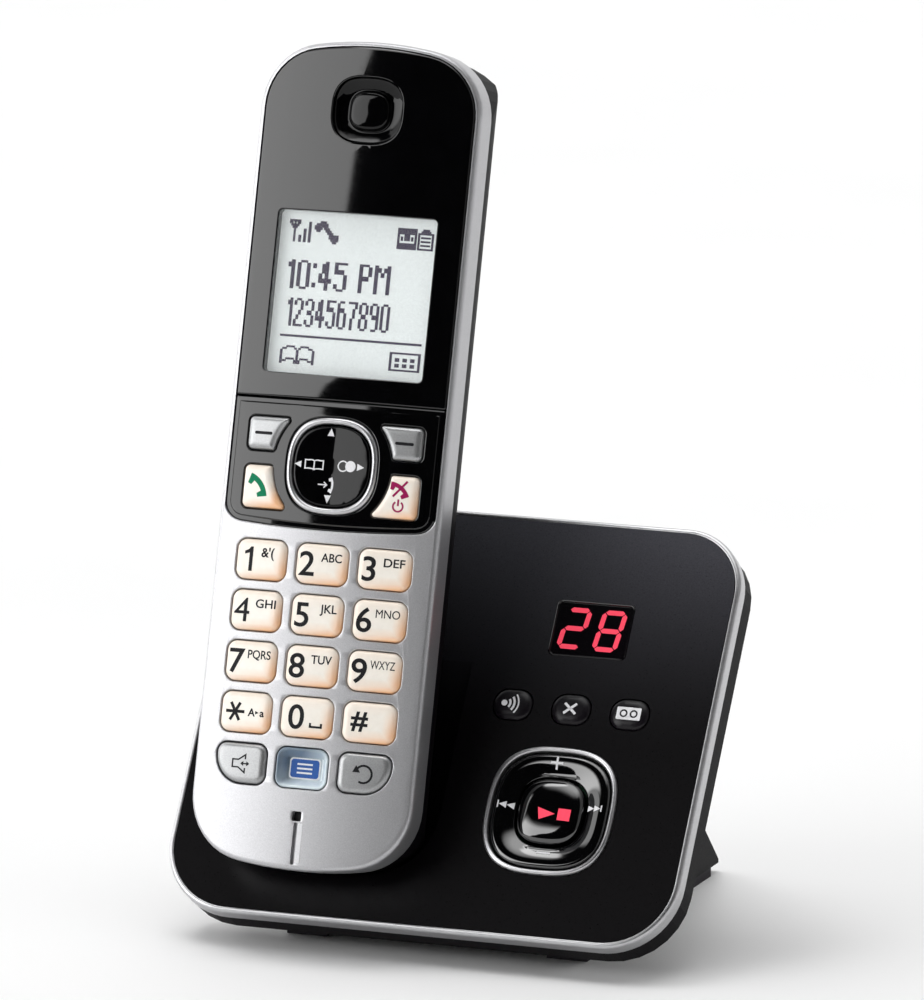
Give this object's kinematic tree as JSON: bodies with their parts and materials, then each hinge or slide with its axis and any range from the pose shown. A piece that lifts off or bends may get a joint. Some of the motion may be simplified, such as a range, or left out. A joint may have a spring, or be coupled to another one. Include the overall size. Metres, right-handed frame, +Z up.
{
  "type": "cordless phone with base",
  "caption": "Cordless telephone handset with screen and keypad, standing in a sloping answering-machine base with a lit message counter.",
  "frame": {"origin": "middle of the footprint on the surface the feet stand on, with the handset in its cradle", "axes": "+Z up, +Y to the back, away from the user, +X to the right of a user facing the front"},
  "size_m": [0.107, 0.0988, 0.1754],
  "materials": {
    "silver_case": "silver metallic paint, satin",
    "black_case": "fine satin grain",
    "gloss_black": "high gloss",
    "chrome_trim": "satin bright trim",
    "screen_glass": "clear",
    "screen_module": "backlit liquid crystal",
    "number_keys": "backlit satin",
    "function_keys": "silver satin",
    "blue_key": "translucent",
    "base_plastic": "smooth satin",
    "led_window": "tinted, lit digits behind",
    "rubber": "matt",
    "board": "solder mask",
    "gold_contact": "plated",
    "steel": "plated",
    "cell_sleeve": "printed sleeve"
  },
  "bodies": {
    "base": {"base_front_cover": "base_plastic", "base_trim_frame": "chrome_trim", "base_rear_cover": "black_case", "display_window": "led_window", "led_display": "black_case", "base_ring_trim": "chrome_trim", "base_board": "board", "base_speaker": "black_case", "dc_inlet": "black_case", "line_jack": "black_case", "base_feet": "rubber", "base_screws": "steel"},
    "handset": {"handset_front_case": "silver_case", "handset_rear_case": "black_case", "display_panel": "gloss_black", "lcd_lens": "screen_glass", "lcd_module": "screen_module", "nav_panel": "gloss_black", "nav_ring": "chrome_trim", "keypad_mat": "rubber", "handset_board": "board", "earpiece_cover": "gloss_black", "earpiece_speaker": "black_case", "microphone": "black_case", "ringer_speaker": "black_case", "battery_cells": "cell_sleeve", "battery_springs": "gold_contact", "handset_charge_pads": "gold_contact", "handset_screws": "steel"},
    "key_1": {"key_1": "number_keys"},
    "key_2": {"key_2": "number_keys"},
    "key_3": {"key_3": "number_keys"},
    "key_4": {"key_4": "number_keys"},
    "key_5": {"key_5": "number_keys"},
    "key_6": {"key_6": "number_keys"},
    "key_7": {"key_7": "number_keys"},
    "key_8": {"key_8": "number_keys"},
    "key_9": {"key_9": "number_keys"},
    "key_star": {"key_star": "number_keys"},
    "key_0": {"key_0": "number_keys"},
    "key_hash": {"key_hash": "number_keys"},
    "speaker_key": {"speaker_key": "function_keys"},
    "function_key": {"function_key": "blue_key"},
    "recall_key": {"recall_key": "function_keys"},
    "soft_key_left": {"soft_key_left": "function_keys"},
    "soft_key_right": {"soft_key_right": "function_keys"},
    "talk_key": {"talk_key": "number_keys"},
    "end_key": {"end_key": "number_keys"},
    "nav_pivot": {"nav_pivot": "black_case"},
    "nav_key": {"nav_key": "gloss_black"},
    "battery_door": {"battery_door": "black_case"},
    "locator_button": {"locator_button": "base_plastic"},
    "erase_button": {"erase_button": "base_plastic"},
    "answer_button": {"answer_button": "base_plastic"},
    "play_stop_button": {"play_stop_button": "gloss_black"},
    "base_ring_pivot": {"base_ring_pivot": "black_case"},
    "base_ring_key": {"base_ring_key": "gloss_black"},
    "charge_contact_left": {"charge_contact_left": "gold_contact"},
    "charge_contact_right": {"charge_contact_right": "gold_contact"}
  },
  "joints": [
    {"name": "handset_lift", "type": "slide", "parent": "base", "child": "handset", "axis": [0, 0.2756, 0.9613], "range_m": [0, 0.1]},
    {"name": "key_1_press", "type": "slide", "parent": "handset", "child": "key_1", "axis": [0, 0.9613, -0.2756], "range_m": [0, 0.0008], "stiffness_N_per_m": 300},
    {"name": "key_2_press", "type": "slide", "parent": "handset", "child": "key_2", "axis": [0, 0.9613, -0.2756], "range_m": [0, 0.0008], "stiffness_N_per_m": 300},
    {"name": "key_3_press", "type": "slide", "parent": "handset", "child": "key_3", "axis": [0, 0.9613, -0.2756], "range_m": [0, 0.0008], "stiffness_N_per_m": 300},
    {"name": "key_4_press", "type": "slide", "parent": "handset", "child": "key_4", "axis": [0, 0.9613, -0.2756], "range_m": [0, 0.0008], "stiffness_N_per_m": 300},
    {"name": "key_5_press", "type": "slide", "parent": "handset", "child": "key_5", "axis": [0, 0.9613, -0.2756], "range_m": [0, 0.0008], "stiffness_N_per_m": 300},
    {"name": "key_6_press", "type": "slide", "parent": "handset", "child": "key_6", "axis": [0, 0.9613, -0.2756], "range_m": [0, 0.0008], "stiffness_N_per_m": 300},
    {"name": "key_7_press", "type": "slide", "parent": "handset", "child": "key_7", "axis": [0, 0.9613, -0.2756], "range_m": [0, 0.0008], "stiffness_N_per_m": 300},
    {"name": "key_8_press", "type": "slide", "parent": "handset", "child": "key_8", "axis": [0, 0.9613, -0.2756], "range_m": [0, 0.0008], "stiffness_N_per_m": 300},
    {"name": "key_9_press", "type": "slide", "parent": "handset", "child": "key_9", "axis": [0, 0.9613, -0.2756], "range_m": [0, 0.0008], "stiffness_N_per_m": 300},
    {"name": "key_star_press", "type": "slide", "parent": "handset", "child": "key_star", "axis": [0, 0.9613, -0.2756], "range_m": [0, 0.0008], "stiffness_N_per_m": 300},
    {"name": "key_0_press", "type": "slide", "parent": "handset", "child": "key_0", "axis": [0, 0.9613, -0.2756], "range_m": [0, 0.0008], "stiffness_N_per_m": 300},
    {"name": "key_hash_press", "type": "slide", "parent": "handset", "child": "key_hash", "axis": [0, 0.9613, -0.2756], "range_m": [0, 0.0008], "stiffness_N_per_m": 300},
    {"name": "speaker_key_press", "type": "slide", "parent": "handset", "child": "speaker_key", "axis": [0, 0.9613, -0.2756], "range_m": [0, 0.0008], "stiffness_N_per_m": 300},
    {"name": "function_key_press", "type": "slide", "parent": "handset", "child": "function_key", "axis": [0, 0.9613, -0.2756], "range_m": [0, 0.0008], "stiffness_N_per_m": 300},
    {"name": "recall_key_press", "type": "slide", "parent": "handset", "child": "recall_key", "axis": [0, 0.9613, -0.2756], "range_m": [0, 0.0008], "stiffness_N_per_m": 300},
    {"name": "soft_key_left_press", "type": "slide", "parent": "handset", "child": "soft_key_left", "axis": [0, 0.9613, -0.2756], "range_m": [0, 0.0007], "stiffness_N_per_m": 300},
    {"name": "soft_key_right_press", "type": "slide", "parent": "handset", "child": "soft_key_right", "axis": [0, 0.9613, -0.2756], "range_m": [0, 0.0007], "stiffness_N_per_m": 300},
    {"name": "talk_key_press", "type": "slide", "parent": "handset", "child": "talk_key", "axis": [0, 0.9613, -0.2756], "range_m": [0, 0.0007], "stiffness_N_per_m": 300},
    {"name": "end_key_press", "type": "slide", "parent": "handset", "child": "end_key", "axis": [0, 0.9613, -0.2756], "range_m": [0, 0.0007], "stiffness_N_per_m": 300},
    {"name": "nav_tilt_up_down", "type": "hinge", "parent": "handset", "child": "nav_pivot", "pos_m": [-0.022, -0.0261, 0.09452], "axis": [1, 0, 0], "range_deg": [-4, 4], "stiffness_Nm_per_rad": 0.05},
    {"name": "nav_tilt_left_right", "type": "hinge", "parent": "nav_pivot", "child": "nav_key", "pos_m": [-0.022, -0.0261, 0.09452], "axis": [0, 0.2756, 0.9613], "range_deg": [-4, 4], "stiffness_Nm_per_rad": 0.05},
    {"name": "battery_door_slide", "type": "slide", "parent": "handset", "child": "battery_door", "axis": [0, -0.2756, -0.9613], "range_m": [0, 0.0055]},
    {"name": "locator_button_press", "type": "slide", "parent": "base", "child": "locator_button", "axis": [0, 0.8339, -0.5519], "range_m": [0, 0.0006], "stiffness_N_per_m": 300},
    {"name": "erase_button_press", "type": "slide", "parent": "base", "child": "erase_button", "axis": [0, 0.8339, -0.5519], "range_m": [0, 0.0006], "stiffness_N_per_m": 300},
    {"name": "answer_button_press", "type": "slide", "parent": "base", "child": "answer_button", "axis": [0, 0.8339, -0.5519], "range_m": [0, 0.0006], "stiffness_N_per_m": 300},
    {"name": "play_stop_button_press", "type": "slide", "parent": "base", "child": "play_stop_button", "axis": [0, 0.8339, -0.5519], "range_m": [0, 0.0008], "stiffness_N_per_m": 300},
    {"name": "base_ring_tilt_up_down", "type": "hinge", "parent": "base", "child": "base_ring_pivot", "pos_m": [0.024, -0.02742, 0.02918], "axis": [1, 0, 0], "range_deg": [-3, 3], "stiffness_Nm_per_rad": 0.1},
    {"name": "base_ring_tilt_left_right", "type": "hinge", "parent": "base_ring_pivot", "child": "base_ring_key", "pos_m": [0.024, -0.02742, 0.02918], "axis": [0, 0.5519, 0.8339], "range_deg": [-3, 3], "stiffness_Nm_per_rad": 0.1},
    {"name": "charge_contact_left_press", "type": "slide", "parent": "base", "child": "charge_contact_left", "axis": [0, 0.9613, -0.2756], "range_m": [0, 0.0008], "stiffness_N_per_m": 300},
    {"name": "charge_contact_right_press", "type": "slide", "parent": "base", "child": "charge_contact_right", "axis": [0, 0.9613, -0.2756], "range_m": [0, 0.0008], "stiffness_N_per_m": 300}
  ]
}
